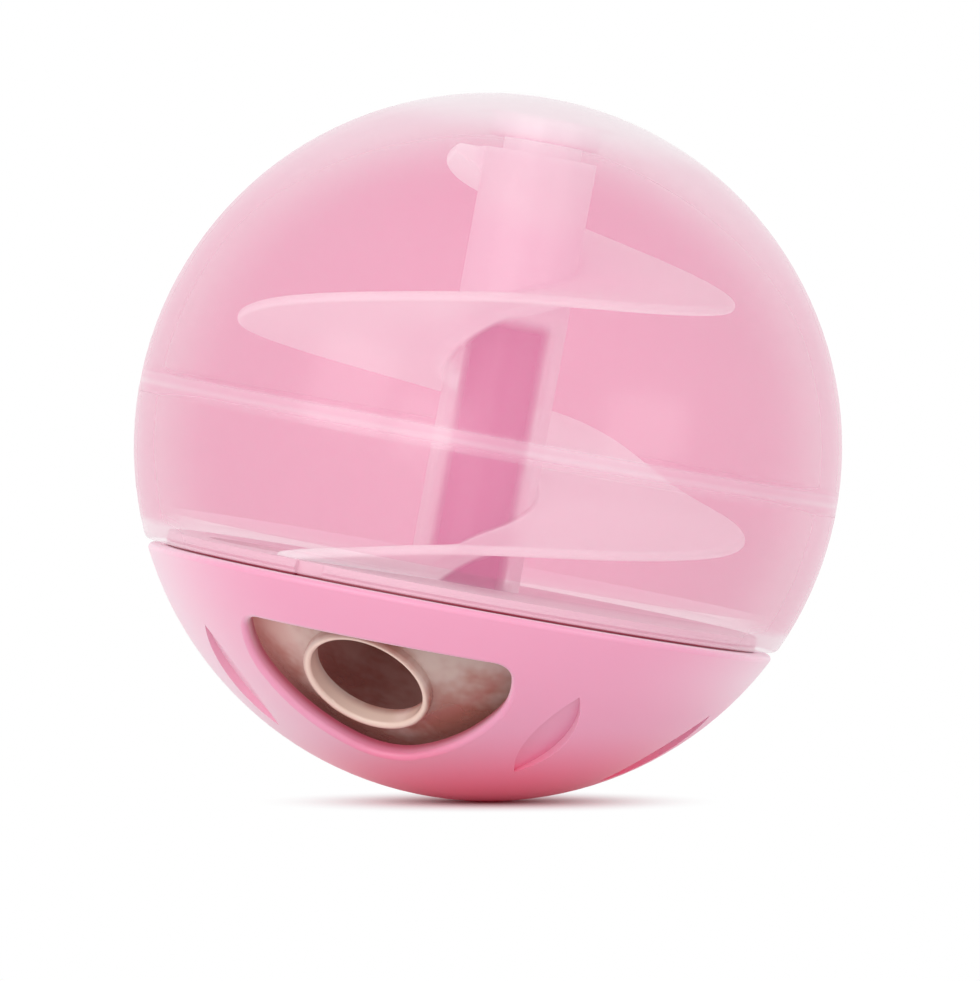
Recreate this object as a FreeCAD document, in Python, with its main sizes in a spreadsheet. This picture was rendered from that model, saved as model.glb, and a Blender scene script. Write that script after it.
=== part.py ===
import FreeCAD, Part
import math
import os

import Sketcher
from FreeCAD import Placement, Rotation, Vector

# Treat ball for a cat. The origin is the centre of the ball, +Z is up through the column, and the
# dispensing window faces -Y. Lengths are in millimetres and angles in degrees. An azimuth is measured
# from -Y towards +X, and a latitude from the ball's equator upwards. A ramp angle is measured from +X
# anticlockwise as seen from above, and falls as the ramp goes down.

doc = FreeCAD.newDocument("TreatBall")

SIZES = [
    ("ball_radius", 45.0, "outside of the dome, the belt and the lower shell"),
    ("upper_wall", 2.0, "wall of the dome and the belt"),
    ("lower_wall", 2.2, "wall of the lower shell"),
    ("parting_drop", 0.8, "line between dome and belt, below the centre"),
    ("lap_height", 2.8, "overlap of the belt's tongue inside the dome"),
    ("lap_skin", 1.0, "wall of the dome outside the tongue"),
    ("weld_gap", 0.05, "space in a welded or pushed-in joint"),
    ("seam_drop", 19.15, "bottom edge of the belt, below the centre"),
    ("seam_gap", 0.35, "open line between belt and lower shell"),
    ("belt_rim_width", 2.42, "bottom face of the belt, from the outside to the tray's seat"),
    ("belt_edge_radius", 1.1, "rounding of the belt's bottom edge"),
    ("rim_edge_radius", 0.6, "rounding of the lower shell's rim"),
    ("floor_rise", 1.55, "top of the tray's floor above the seam"),
    ("floor_thickness", 1.6, "floor of the tray"),
    ("cover_gap", 0.3, "space between the tray's edge and the belt"),
    ("grip_gap", 0.06, "space left at the bead that grips the belt"),
    ("bead_half_height", 0.3, "half the height of the grip bead"),
    ("seat_gap", 0.05, "height that a resting face is clear of its seat"),
    ("ledge_width", 1.4, "ledge in the belt that rests on the tray"),
    ("ledge_height", 1.0, "upright face above that ledge"),
    ("ledge_slope_height", 1.4, "slope from the ledge to the belt's wall"),
    ("key_width", 4.0, "key in the belt that turns the tray"),
    ("key_depth", 0.85, "how far the key stands into the tray's edge"),
    ("key_gap", 0.1, "space round the key"),
    ("key_count", 3, "keys round the belt"),
    ("skirt_setback", 0.85, "bearing skirt under the tray, in from the tray's edge"),
    ("skirt_depth", 2.8, "height of the skirt below the shoulder"),
    ("skirt_wall", 1.55, "wall of the skirt"),
    ("bearing_gap", 0.05, "radial running clearance of the skirt"),
    ("snap_height", 0.35, "how far the snap ring stands out of the skirt"),
    ("snap_half_length", 0.25, "half the flat of the snap ring"),
    ("snap_middle", 1.75, "middle of the snap ring below the shoulder"),
    ("snap_gap", 0.1, "space round the snap ring in its groove"),
    ("step_gap", 0.3, "space under the skirt"),
    ("bowl_gap", 1.6, "space between the selector bowl and the lower shell"),
    ("bowl_wall", 1.6, "wall of the selector bowl"),
    ("outlet_azimuth", -20.8, "direction of the outlet"),
    ("outlet_latitude", -49.0, "height of the outlet as an angle"),
    ("outlet_radius", 7.5, "hole that a treat falls through"),
    ("lip_width", 1.1, "rim round the outlet"),
    ("lip_proud", 0.3, "how far the rim stands out of the bowl"),
    ("lip_inset", 0.4, "how far its foot stands into the bowl"),
    ("lip_edge_radius", 0.45, "rounding of the rim"),
    ("window_azimuth", -16.5, "direction of the window"),
    ("window_latitude", -42.4, "height of the window's middle as an angle"),
    ("window_half_width", 17.4, "window's middle to its widest point"),
    ("window_shoulder_rise", 1.0, "height of that point over the window's middle"),
    ("window_shoulder_radius", 11.3, "arc through the widest point"),
    ("window_flank_radius", 33.0, "flat arc below it"),
    ("window_depth", 15.8, "window's middle to its lowest point"),
    ("window_foot_radius", 9.0, "arc through the lowest point"),
    ("window_top_drop", 26.0, "level top edge of the window, below the centre"),
    ("window_corner_radius", 2.8, "two top corners of the window"),
    ("window_edge_radius", 0.6, "rolled outer edge of the window"),
    ("leaf_latitude", -49.5, "middle of a leaf recess as an angle"),
    ("leaf_length", 17.0, "leaf recess along the meridian"),
    ("leaf_width", 5.3, "leaf recess across the meridian"),
    ("leaf_depth", 1.15, "depth of a leaf recess at its middle"),
    ("leaf_spacing", 45.0, "angle between neighbouring recesses"),
    ("leaf_count", 7, "leaf recesses beside the one window"),
    ("column_radius", 7.15, "outside of the column"),
    ("column_bore_radius", 5.2, "hollow of the column"),
    ("column_bore_top", 17.0, "closed end of the hollow above the centre"),
    ("column_bore_corner", 1.5, "rounding of that closed end"),
    ("socket_cover", 3.45, "plastic over the socket at the dome's pole"),
    ("socket_depth", 2.35, "depth of the socket"),
    ("boss_radius", 7.15, "boss that holds the socket"),
    ("tenon_radius", 5.0, "pin on top of the column"),
    ("tenon_gap", 0.1, "space round the pin in the socket"),
    ("tenon_end_gap", 0.35, "space over the pin in the socket"),
    ("tenon_bare", 1.6, "length of pin that shows below the boss"),
    ("tenon_chamfer", 0.6, "lead-in on the pin"),
    ("stub_height", 5.5, "stub of the tray inside the column"),
    ("stub_wall", 1.5, "wall of the stub"),
    ("drop_hole_radius", 10.0, "hole in the floor that treats drop through"),
    ("drop_hole_margin", 2.6, "floor left between that hole and the skirt"),
    ("drop_hole_turn", 38.0, "how far the hole lies beyond the ramp's foot"),
    ("ramp_thickness", 1.3, "ramp at its edge"),
    ("ramp_root_thickness", 2.0, "ramp at the column"),
    ("ramp_top_fillet", 1.0, "rounding between ramp and column, above"),
    ("ramp_under_fillet", 2.2, "rounding between ramp and column, below"),
    ("ramp_sink", 0.12, "how far those roundings start inside the column's surface"),
    ("ramp_start_angle", 175.0, "nose of the ramp"),
    ("ramp_start_drop", 0.2, "ramp at its nose, below the column's shoulder"),
    ("ramp_start_space", 10.3, "level space between the dome and the ramp's edge at its nose"),
    ("ramp_back_height", 31.4, "ramp behind the column, near the top"),
    ("ramp_back_space", 9.4, "space between its edge and the dome there"),
    ("ramp_right_height", 24.1, "ramp at the right"),
    ("ramp_right_space", 8.1, "space between its edge and the dome there"),
    ("ramp_front_height", 20.0, "ramp at the front"),
    ("ramp_front_space", 6.05, "space between its edge and the dome there"),
    ("ramp_left_height", 11.0, "ramp at the left"),
    ("ramp_full_angle", -142.0, "where the ramp reaches its full radius"),
    ("ramp_ledge_space", 2.6, "space between its edge and the belt's ledge from there on"),
    ("landing_angle", -297.0, "end of the gentle stretch behind the column"),
    ("landing_height", 4.9, "ramp there"),
    ("chute_angle", -313.0, "end of the short steep stretch"),
    ("chute_height", -1.1, "ramp there"),
    ("ramp_low_right_height", -5.3, "ramp at the right, second turn"),
    ("ramp_low_front_height", -11.7, "ramp at the front, second turn"),
    ("ramp_foot_angle", -493.0, "foot of the ramp"),
    ("ramp_foot_height", 0.5, "step down from the foot to the floor"),
    ("ramp_blend_angle", 12.0, "half the turn over which a change of slope is eased"),
]

DERIVED = [
    ("axis", "0 * Sizes.ball_radius"),
    ("ball_bottom", "-Sizes.ball_radius"),
    ("upper_inside", "Sizes.ball_radius - Sizes.upper_wall"),
    ("parting_height", "-Sizes.parting_drop"),
    ("tongue_top", "-Sizes.parting_drop + Sizes.lap_height"),
    ("dome_lap_radius", "Sizes.ball_radius - Sizes.lap_skin"),
    ("tongue_radius", "dome_lap_radius - Sizes.weld_gap"),
    ("dome_edge", "-Sizes.parting_drop + Sizes.weld_gap"),
    ("dome_lap_top", "tongue_top + Sizes.weld_gap"),
    ("socket_radius", "Sizes.tenon_radius + Sizes.tenon_gap"),
    ("socket_top", "Sizes.ball_radius - Sizes.socket_cover"),
    ("boss_bottom", "socket_top - Sizes.socket_depth"),
    ("boss_root", "sqrt(upper_inside ^ 2 - Sizes.boss_radius ^ 2)"),
    ("tenon_top", "socket_top - Sizes.tenon_end_gap"),
    ("column_top", "boss_bottom - Sizes.tenon_bare"),
    ("belt_bottom", "-Sizes.seam_drop"),
    ("belt_edge_reach", "sqrt(Sizes.ball_radius ^ 2 - Sizes.seam_drop ^ 2)"),
    ("belt_bore", "belt_edge_reach - Sizes.belt_rim_width"),
    ("tray_radius", "belt_bore - Sizes.cover_gap"),
    ("floor_top", "-Sizes.seam_drop + Sizes.floor_rise"),
    ("floor_bottom", "floor_top - Sizes.floor_thickness"),
    ("belt_ledge", "floor_top + Sizes.seat_gap"),
    ("ledge_radius", "belt_bore - Sizes.ledge_width"),
    ("ledge_top", "belt_ledge + Sizes.ledge_height"),
    ("slope_top", "ledge_top + Sizes.ledge_slope_height"),
    ("rim_height", "-Sizes.seam_drop - Sizes.seam_gap"),
    ("rim_reach", "sqrt(Sizes.ball_radius ^ 2 - rim_height ^ 2)"),
    ("shoulder", "rim_height + Sizes.seat_gap"),
    ("bead_radius", "belt_bore - Sizes.grip_gap"),
    ("bead_middle", "(floor_top + shoulder) / 2"),
    ("bead_top", "bead_middle + Sizes.bead_half_height"),
    ("bead_bottom", "bead_middle - Sizes.bead_half_height"),
    ("skirt_radius", "tray_radius - Sizes.skirt_setback"),
    ("skirt_bottom", "shoulder - Sizes.skirt_depth"),
    ("skirt_inside", "skirt_radius - Sizes.skirt_wall"),
    ("snap_radius", "skirt_radius + Sizes.snap_height"),
    ("snap_flat_top", "shoulder - Sizes.snap_middle + Sizes.snap_half_length"),
    ("snap_flat_bottom", "shoulder - Sizes.snap_middle - Sizes.snap_half_length"),
    ("snap_top", "snap_flat_top + Sizes.snap_height"),
    ("snap_bottom", "snap_flat_bottom - Sizes.snap_height"),
    ("shell_bore", "skirt_radius + Sizes.bearing_gap"),
    ("groove_radius", "snap_radius + Sizes.snap_gap"),
    ("groove_flat_top", "snap_flat_top + Sizes.snap_gap"),
    ("groove_flat_bottom", "snap_flat_bottom - Sizes.snap_gap"),
    ("groove_top", "snap_top + Sizes.snap_gap"),
    ("groove_bottom", "snap_bottom - Sizes.snap_gap"),
    ("shell_step", "skirt_bottom - Sizes.step_gap"),
    ("shell_inside", "Sizes.ball_radius - Sizes.lower_wall"),
    ("shell_floor", "-shell_inside"),
    ("stub_radius", "Sizes.column_bore_radius - Sizes.weld_gap"),
    ("stub_bore", "stub_radius - Sizes.stub_wall"),
    ("stub_top", "floor_top + Sizes.stub_height"),
    ("drop_hole_reach", "skirt_inside - Sizes.drop_hole_margin - Sizes.drop_hole_radius"),
    ("bowl_radius", "shell_inside - Sizes.bowl_gap"),
    ("bowl_inside", "bowl_radius - Sizes.bowl_wall"),
    ("bowl_rim_radius", "skirt_inside - Sizes.weld_gap"),
    ("bowl_rim_bore", "bowl_rim_radius - Sizes.bowl_wall"),
    ("bowl_rim_bottom", "-sqrt(bowl_radius ^ 2 - bowl_rim_radius ^ 2)"),
    ("bowl_bore_bottom", "-sqrt(bowl_inside ^ 2 - bowl_rim_bore ^ 2)"),
    ("bowl_bottom", "-bowl_radius"),
    ("bowl_floor", "-bowl_inside"),
    ("lip_radius", "Sizes.outlet_radius + Sizes.lip_width"),
    ("lip_reach", "bowl_radius + Sizes.lip_proud"),
    ("lip_foot", "bowl_inside - Sizes.lip_inset"),
    ("key_inner", "belt_bore - Sizes.key_depth"),
    ("key_outer", "belt_bore + Sizes.lap_skin"),
    ("key_half_width", "Sizes.key_width / 2"),
    ("notch_inner", "key_inner - Sizes.key_gap"),
    ("notch_outer", "belt_bore + Sizes.cover_gap"),
    ("notch_half_width", "key_half_width + Sizes.key_gap"),
    ("window_foot_rise", "Sizes.window_foot_radius - Sizes.window_depth"),
    ("window_shoulder_middle", "Sizes.window_half_width - Sizes.window_shoulder_radius"),
    ("ramp_start_height", "column_top - Sizes.ramp_start_drop"),
    ("ramp_start_radius", "sqrt(upper_inside ^ 2 - ramp_start_height ^ 2) - Sizes.ramp_start_space"),
    ("ramp_back_radius", "sqrt(upper_inside ^ 2 - Sizes.ramp_back_height ^ 2) - Sizes.ramp_back_space"),
    ("ramp_right_radius", "sqrt(upper_inside ^ 2 - Sizes.ramp_right_height ^ 2) - Sizes.ramp_right_space"),
    ("ramp_front_radius", "sqrt(upper_inside ^ 2 - Sizes.ramp_front_height ^ 2) - Sizes.ramp_front_space"),
    ("ramp_radius", "ledge_radius - Sizes.ramp_ledge_space"),
    ("ramp_foot", "floor_top + Sizes.ramp_foot_height"),
]


def make_sheet(name, rows):
    """Fill a sheet with one named cell a row. A row is a name, its number or formula, and a note."""
    sheet = doc.addObject("Spreadsheet::Sheet", name)
    for number, row in enumerate(rows, 1):
        sheet.set(f"A{number}", row[0])
        sheet.set(f"B{number}", str(row[1]))
        sheet.setAlias(f"B{number}", row[0])
        if len(row) > 2:
            sheet.set(f"C{number}", row[2])
    doc.recompute()
    return sheet


sizes = make_sheet("Sizes", SIZES)
derived = make_sheet("Derived", [(name, "=" + formula) for name, formula in DERIVED])
SIZE_NAMES = {row[0] for row in SIZES}


def cell(name):
    """The number in a named cell of either sheet."""
    sheet = sizes if name in SIZE_NAMES else derived
    return float(sheet.get(name))


def ref(name):
    """The expression that reads a named cell."""
    return ("Sizes." if name in SIZE_NAMES else "Derived.") + name


def new_body(label):
    body = doc.addObject("PartDesign::Body", label)
    body.Label = label
    return body


def origin_item(body, role):
    return next(item for item in body.Origin.OriginFeatures if item.Role == role)


def new_sketch(body, name, plane, offset=None):
    """A sketch on one of the body's own planes, moved by an offset within that plane's frame."""
    sketch = body.newObject("Sketcher::SketchObject", name)
    sketch.AttachmentSupport = [(origin_item(body, plane), "")]
    sketch.MapMode = "FlatFace"
    if offset is not None:
        sketch.AttachmentOffset = offset
    return sketch


def outward(azimuth, latitude):
    """The direction from the centre of the ball at an azimuth and a latitude."""
    turn = math.radians(azimuth)
    rise = math.radians(latitude)
    return Vector(math.cos(rise) * math.sin(turn), -math.cos(rise) * math.cos(turn), math.sin(rise))


def facing(azimuth, latitude, distance=0.0):
    """A placement that looks outwards: its X runs level to the right, its Y upwards, its Z outwards."""
    out = outward(azimuth, latitude)
    up = outward(azimuth, latitude + 90)
    return Placement(out * distance, Rotation(up.cross(out), up, out, "ZXY"))


def pointing(azimuth, latitude):
    """A placement whose Y axis points outwards, for outlines that turn about that direction."""
    out = outward(azimuth, latitude)
    side = outward(azimuth, latitude + 90).cross(out)
    return Placement(Vector(), Rotation(side, out, side.cross(out), "YXZ"))


def outline(sketch, corners):
    """Draw a closed outline and tie its corners to cells.

    A corner is (across, up, arc). The first two name the cells of its place, and arc names the radius
    of the arc about the sketch's origin that leads on to the next corner, or is None for a straight side.
    Where an arc meets a corner, across may be None, because the arc settles it.
    """
    count = len(corners)
    touching = [corners[i][2] or corners[i - 1][2] for i in range(count)]
    places = []
    for i, (across, up, arc) in enumerate(corners):
        height = cell(up)
        width = cell(across) if across else math.sqrt(cell(touching[i]) ** 2 - height ** 2)
        places.append(Vector(width, height, 0))

    starts, ends = [], []
    for i in range(count):
        here, there = places[i], places[(i + 1) % count]
        radius = corners[i][2]
        if radius is None:
            sketch.addGeometry(Part.LineSegment(here, there), False)
            starts.append(1)
            ends.append(2)
            continue
        first, last = math.atan2(here.y, here.x), math.atan2(there.y, there.x)
        forward = last > first
        circle = Part.Circle(Vector(), Vector(0, 0, 1), cell(radius))
        sketch.addGeometry(Part.ArcOfCircle(circle, min(first, last), max(first, last)), False)
        starts.append(1 if forward else 2)
        ends.append(2 if forward else 1)

    for i in range(count):
        after = (i + 1) % count
        sketch.addConstraint(Sketcher.Constraint("Coincident", i, ends[i], after, starts[after]))
    for i, (across, up, arc) in enumerate(corners):
        if arc is not None:
            sketch.addConstraint(Sketcher.Constraint("Coincident", i, 3, -1, 1))
            bind(sketch, Sketcher.Constraint("Radius", i, cell(arc)), arc)
    for i, (across, up, arc) in enumerate(corners):
        if across == "axis":
            sketch.addConstraint(Sketcher.Constraint("PointOnObject", i, starts[i], -2))
        elif across is not None and not touching[i]:
            bind(sketch, Sketcher.Constraint("DistanceX", i, starts[i], places[i].x), across)
        if not (across == "axis" and touching[i]):
            bind(sketch, Sketcher.Constraint("DistanceY", i, starts[i], places[i].y), up)


def bind(sketch, constraint, name):
    """Add a constraint whose value follows a named cell."""
    index = sketch.addConstraint(constraint)
    sketch.setExpression(f"Constraints[{index}]", ref(name))


def turned(body, name, sketch, kind="PartDesign::Revolution"):
    """Turn an outline once round the vertical axis of its sketch."""
    feature = body.newObject(kind, name)
    feature.Profile = sketch
    feature.ReferenceAxis = (sketch, ["V_Axis"])
    feature.Angle = 360
    doc.recompute()
    return feature


def pocket(body, name, sketch, outwards):
    """Cut an outline all the way, along its sketch's Z axis or against it."""
    feature = body.newObject("PartDesign::Pocket", name)
    feature.Profile = sketch
    feature.Type = "ThroughAll"
    feature.Reversed = outwards
    before = feature.BaseFeature.Shape.Volume
    doc.recompute()
    if not feature.Shape.Volume < before:
        raise RuntimeError(f"{name} cut nothing")
    return feature


def pattern(body, name, original, angle, count):
    """Repeat a feature round the body's Z axis, over a whole turn unless an angle cell is named."""
    feature = body.newObject("PartDesign::PolarPattern", name)
    feature.Originals = [original]
    feature.Axis = (origin_item(body, "Z_Axis"), [""])
    if angle is None:
        feature.Angle = 360
    else:
        feature.setExpression("Angle", f"{ref(angle)} * ({ref(count)} - 1)")
    feature.setExpression("Occurrences", ref(count))
    body.Tip = feature
    doc.recompute()
    return feature


def rounded(body, name, base, edges, size, kind="PartDesign::Fillet"):
    """Round or chamfer the edges of a feature that a test picks."""
    numbered = enumerate(base.Shape.Edges, 1)
    names = [f"Edge{i}" for i, edge in numbered if not edge.Degenerated and edges(edge)]
    if not names:
        raise RuntimeError(f"{name} found no edge")
    feature = body.newObject(kind, name)
    feature.Base = (base, names)
    setting = "Radius" if kind == "PartDesign::Fillet" else "Size"
    setattr(feature, setting, cell(size))
    feature.setExpression(setting, ref(size))
    doc.recompute()
    return feature


def level_circle(radius, height):
    """A test for the circular edge of a radius at a height."""
    def test(edge):
        curve = edge.Curve
        if not isinstance(curve, Part.Circle):
            return False
        return abs(curve.Radius - radius) < 0.001 and abs(curve.Center.z - height) < 0.001
    return test


def make_dome():
    """Upper half of the ball: a thin hemisphere with a socket for the column under its pole."""
    body = new_body("dome")
    sketch = new_sketch(body, "DomeOutline", "XZ_Plane")
    outline(sketch, [
        ("dome_lap_radius", "dome_edge", None),
        (None, "dome_edge", "ball_radius"),
        ("axis", "ball_radius", None),
        ("axis", "socket_top", None),
        ("socket_radius", "socket_top", None),
        ("socket_radius", "boss_bottom", None),
        ("boss_radius", "boss_bottom", None),
        (None, "boss_root", "upper_inside"),
        (None, "dome_lap_top", None),
        ("dome_lap_radius", "dome_lap_top", None),
    ])
    turned(body, "DomeShell", sketch)
    return body


def make_belt():
    """Ring below the dome: a tongue up into the dome, a ledge on the tray, and keys that turn the tray."""
    body = new_body("belt")
    sketch = new_sketch(body, "BeltOutline", "XZ_Plane")
    outline(sketch, [
        ("belt_bore", "belt_bottom", None),
        (None, "belt_bottom", "ball_radius"),
        (None, "parting_height", None),
        ("tongue_radius", "parting_height", None),
        ("tongue_radius", "tongue_top", None),
        (None, "tongue_top", "upper_inside"),
        (None, "slope_top", None),
        ("ledge_radius", "ledge_top", None),
        ("ledge_radius", "belt_ledge", None),
        ("belt_bore", "belt_ledge", None),
    ])
    ring = turned(body, "BeltRing", sketch)
    edge = level_circle(cell("belt_edge_reach"), cell("belt_bottom"))
    rounded(body, "BeltEdge", ring, edge, "belt_edge_radius")

    key = new_sketch(body, "KeyOutline", "XY_Plane")
    block(key, "key_inner", "key_outer", "key_half_width")
    key.setExpression("AttachmentOffset.Base.z", ref("belt_bottom"))
    pad = body.newObject("PartDesign::Pad", "Key")
    pad.Profile = key
    pad.setExpression("Length", "Derived.belt_ledge - Derived.belt_bottom")
    doc.recompute()
    pattern(body, "Keys", pad, None, "key_count")
    return body


def block(sketch, inner, outer, half_width):
    """A rectangle on the sketch's X axis, between two distances from the origin."""
    near, far, half = cell(inner), cell(outer), cell(half_width)
    corners = [Vector(near, -half, 0), Vector(far, -half, 0), Vector(far, half, 0), Vector(near, half, 0)]
    for i in range(4):
        sketch.addGeometry(Part.LineSegment(corners[i], corners[(i + 1) % 4]), False)
    for i in range(4):
        sketch.addConstraint(Sketcher.Constraint("Coincident", i, 2, (i + 1) % 4, 1))
    for i in (0, 2):
        sketch.addConstraint(Sketcher.Constraint("Horizontal", i))
    sketch.addConstraint(Sketcher.Constraint("Vertical", 3))
    sketch.addConstraint(Sketcher.Constraint("Symmetric", 1, 1, 1, 2, -1))
    bind(sketch, Sketcher.Constraint("DistanceY", -1, 1, 1, 2, half), half_width)
    bind(sketch, Sketcher.Constraint("DistanceX", 0, 1, near), inner)
    bind(sketch, Sketcher.Constraint("DistanceX", 1, 1, far), outer)


def make_tray():
    """Floor of the treat chamber: a disc with a stub for the column and a skirt that turns in the shell."""
    body = new_body("tray")
    sketch = new_sketch(body, "TrayOutline", "XZ_Plane")
    outline(sketch, [
        ("axis", "floor_top", None),
        ("stub_bore", "floor_top", None),
        ("stub_bore", "stub_top", None),
        ("stub_radius", "stub_top", None),
        ("stub_radius", "floor_top", None),
        ("tray_radius", "floor_top", None),
        ("tray_radius", "bead_top", None),
        ("bead_radius", "bead_middle", None),
        ("tray_radius", "bead_bottom", None),
        ("tray_radius", "shoulder", None),
        ("skirt_radius", "shoulder", None),
        ("skirt_radius", "snap_top", None),
        ("snap_radius", "snap_flat_top", None),
        ("snap_radius", "snap_flat_bottom", None),
        ("skirt_radius", "snap_bottom", None),
        ("skirt_radius", "skirt_bottom", None),
        ("skirt_inside", "skirt_bottom", None),
        ("skirt_inside", "floor_bottom", None),
        ("axis", "floor_bottom", None),
    ])
    turned(body, "TrayDisc", sketch)

    notch = new_sketch(body, "NotchOutline", "XY_Plane")
    block(notch, "notch_inner", "notch_outer", "notch_half_width")
    cut = pocket(body, "Notch", notch, False)
    pattern(body, "Notches", cut, None, "key_count")

    hole = new_sketch(body, "DropHoleOutline", "XY_Plane")
    turn = cell("ramp_foot_angle") - cell("drop_hole_turn")
    hole.AttachmentOffset = Placement(Vector(), Rotation(Vector(0, 0, 1), turn))
    middle = Vector(cell("drop_hole_reach"), 0, 0)
    hole.addGeometry(Part.Circle(middle, Vector(0, 0, 1), cell("drop_hole_radius")), False)
    hole.addConstraint(Sketcher.Constraint("PointOnObject", 0, 3, -1))
    bind(hole, Sketcher.Constraint("DistanceX", 0, 3, middle.x), "drop_hole_reach")
    bind(hole, Sketcher.Constraint("Radius", 0, cell("drop_hole_radius")), "drop_hole_radius")
    pocket(body, "DropHole", hole, False)
    return body


def make_bowl():
    """Clear cup that hangs in the lower shell, with the rimmed outlet that the treats leave by."""
    body = new_body("selector_bowl")
    sketch = new_sketch(body, "BowlOutline", "XZ_Plane")
    outline(sketch, [
        ("bowl_rim_bore", "floor_bottom", None),
        ("bowl_rim_radius", "floor_bottom", None),
        (None, "bowl_rim_bottom", "bowl_radius"),
        ("axis", "bowl_bottom", None),
        ("axis", "bowl_floor", "bowl_inside"),
        (None, "bowl_bore_bottom", None),
    ])
    turned(body, "BowlShell", sketch)

    azimuth, latitude = cell("outlet_azimuth"), cell("outlet_latitude")
    lip = new_sketch(body, "LipOutline", "XY_Plane", pointing(azimuth, latitude))
    outline(lip, [
        ("outlet_radius", "lip_foot", None),
        ("lip_radius", "lip_foot", None),
        ("lip_radius", "lip_reach", None),
        ("outlet_radius", "lip_reach", None),
    ])
    turned(body, "Lip", lip)

    hole = new_sketch(body, "OutletOutline", "XY_Plane", facing(azimuth, latitude))
    hole.addGeometry(Part.Circle(Vector(), Vector(0, 0, 1), cell("outlet_radius")), False)
    hole.addConstraint(Sketcher.Constraint("Coincident", 0, 3, -1, 1))
    bind(hole, Sketcher.Constraint("Radius", 0, cell("outlet_radius")), "outlet_radius")
    cut = pocket(body, "Outlet", hole, True)

    out = outward(azimuth, latitude)

    def on_lip_face(edge):
        return all(abs(vertex.Point.dot(out) - cell("lip_reach")) < 0.001 for vertex in edge.Vertexes)

    rounded(body, "LipEdge", cut, on_lip_face, "lip_edge_radius")
    return body


def make_lower_shell():
    """Opaque cup round the bowl, with the window over the outlet and a ring of leaf recesses."""
    body = new_body("lower_shell")
    sketch = new_sketch(body, "ShellOutline", "XZ_Plane")
    outline(sketch, [
        ("shell_bore", "rim_height", None),
        (None, "rim_height", "ball_radius"),
        ("axis", "ball_bottom", None),
        ("axis", "shell_floor", "shell_inside"),
        (None, "shell_step", None),
        ("shell_bore", "shell_step", None),
        ("shell_bore", "groove_bottom", None),
        ("groove_radius", "groove_flat_bottom", None),
        ("groove_radius", "groove_flat_top", None),
        ("shell_bore", "groove_top", None),
    ])
    cup = turned(body, "ShellCup", sketch)
    rim = level_circle(cell("rim_reach"), cell("rim_height"))
    rounded(body, "RimEdge", cup, rim, "rim_edge_radius")

    leaf_azimuth = cell("window_azimuth") + cell("leaf_spacing")
    floor = cell("ball_radius") - cell("leaf_depth")
    leaf = new_sketch(body, "LeafOutline", "XY_Plane", facing(leaf_azimuth, cell("leaf_latitude"), floor))
    draw_leaf(leaf)
    cut = pocket(body, "Leaf", leaf, True)
    leaves = pattern(body, "Leaves", cut, "leaf_spacing", "leaf_count")

    azimuth, latitude = cell("window_azimuth"), cell("window_latitude")
    window = new_sketch(body, "WindowOutline", "XY_Plane", facing(azimuth, latitude))
    reach = draw_window(window)
    opening = pocket(body, "Window", window, True)
    out = outward(azimuth, latitude)

    def is_corner(edge):
        if not isinstance(edge.Curve, Part.Line):
            return False
        return abs(edge.Curve.Direction.dot(out)) > 0.999

    corners = rounded(body, "WindowCorners", opening, is_corner, "window_corner_radius")

    def is_outer_edge(edge):
        middle = edge.valueAt((edge.FirstParameter + edge.LastParameter) / 2)
        beside = (middle - out * middle.dot(out)).Length
        on_ball = abs(middle.Length - cell("ball_radius")) < 0.01
        return on_ball and beside < reach and middle.dot(out) > 0

    rounded(body, "WindowEdge", corners, is_outer_edge, "window_edge_radius")
    return body


def draw_leaf(sketch):
    """Two equal arcs that meet in a point at each end."""
    half_length, half_width = cell("leaf_length") / 2, cell("leaf_width") / 2
    radius = (half_length ** 2 + half_width ** 2) / (2 * half_width)
    reach = math.asin(half_length / radius)
    for side in (0, math.pi):
        middle = Vector((half_width - radius) * math.cos(side), 0, 0)
        arc = Part.ArcOfCircle(Part.Circle(middle, Vector(0, 0, 1), radius), side - reach, side + reach)
        sketch.addGeometry(arc, False)
    sketch.addConstraint(Sketcher.Constraint("Coincident", 0, 2, 1, 1))
    sketch.addConstraint(Sketcher.Constraint("Coincident", 0, 1, 1, 2))
    sketch.addConstraint(Sketcher.Constraint("PointOnObject", 0, 1, -2))
    sketch.addConstraint(Sketcher.Constraint("PointOnObject", 0, 2, -2))
    sketch.addConstraint(Sketcher.Constraint("Equal", 0, 1))
    sketch.addConstraint(Sketcher.Constraint("PointOnObject", 0, 3, -1))
    length = sketch.addConstraint(Sketcher.Constraint("DistanceY", 0, 1, 0, 2, 2 * half_length))
    sketch.setExpression(f"Constraints[{length}]", ref("leaf_length"))
    size = sketch.addConstraint(Sketcher.Constraint("Radius", 0, radius))
    formula = "(Sizes.leaf_length ^ 2 + Sizes.leaf_width ^ 2) / (4 * Sizes.leaf_width)"
    sketch.setExpression(f"Constraints[{size}]", formula)


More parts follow.
